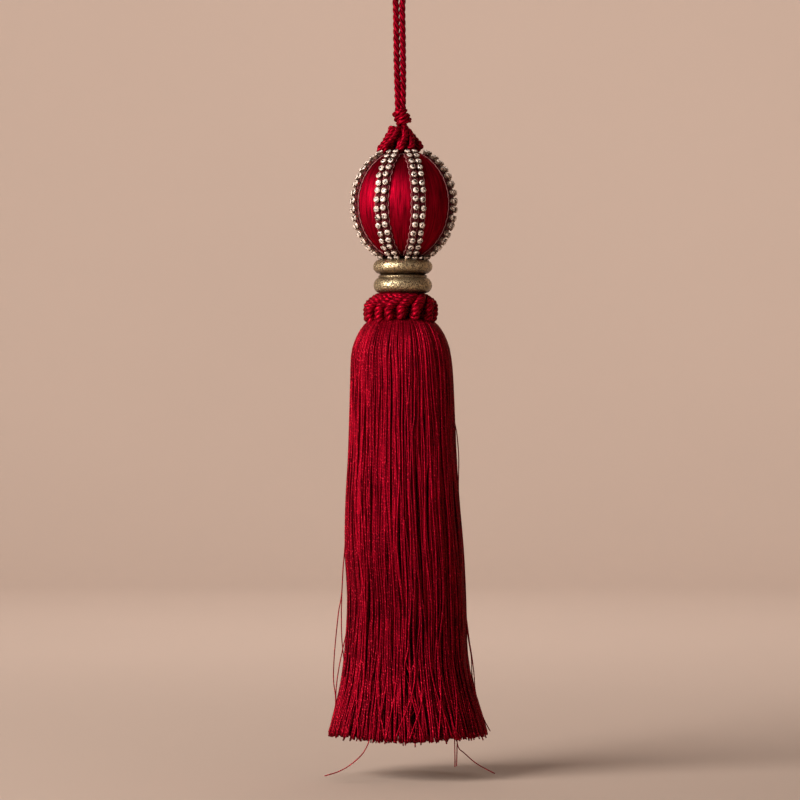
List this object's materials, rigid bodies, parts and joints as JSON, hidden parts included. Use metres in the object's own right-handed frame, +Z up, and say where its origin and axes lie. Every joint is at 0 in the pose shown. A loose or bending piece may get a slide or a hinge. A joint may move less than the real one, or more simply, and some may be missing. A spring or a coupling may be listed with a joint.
{
  "type": "hanging tassel",
  "caption": "Red silk tassel with a doubled cord loop, a satin ball with crystal chain, gilt rings, a corded ruff and a long thread skirt.",
  "frame": {"origin": "inside of the hanging loop's top, where a hook or key would hold it", "axes": "+Z up along the hanging cord, front towards -Y, +X to the right seen from the front"},
  "size_m": [0.0676, 0.063, 0.3283],
  "materials": {
    "silk_cord": "twisted silk cord, soft sheen",
    "satin_floss": "satin floss laid lengthwise, silky streaks",
    "crystal_chain": "foil-backed cut crystals in thin gilt cups",
    "gilt": "antique gilding, rubbed and pitted",
    "silk_thread": "fine twisted silk thread, glinting"
  },
  "bodies": {
    "root": {"hanging_cord": "silk_cord", "knot": "silk_cord", "crown": "silk_cord", "ball": "satin_floss", "chain_1": "crystal_chain", "chain_2": "crystal_chain", "chain_3": "crystal_chain", "chain_4": "crystal_chain", "chain_5": "crystal_chain", "chain_6": "crystal_chain", "chain_7": "crystal_chain", "chain_8": "crystal_chain", "ring_upper": "gilt", "ring_lower": "gilt", "ruff": "silk_cord", "skirt": "silk_thread"}
  },
  "joints": []
}
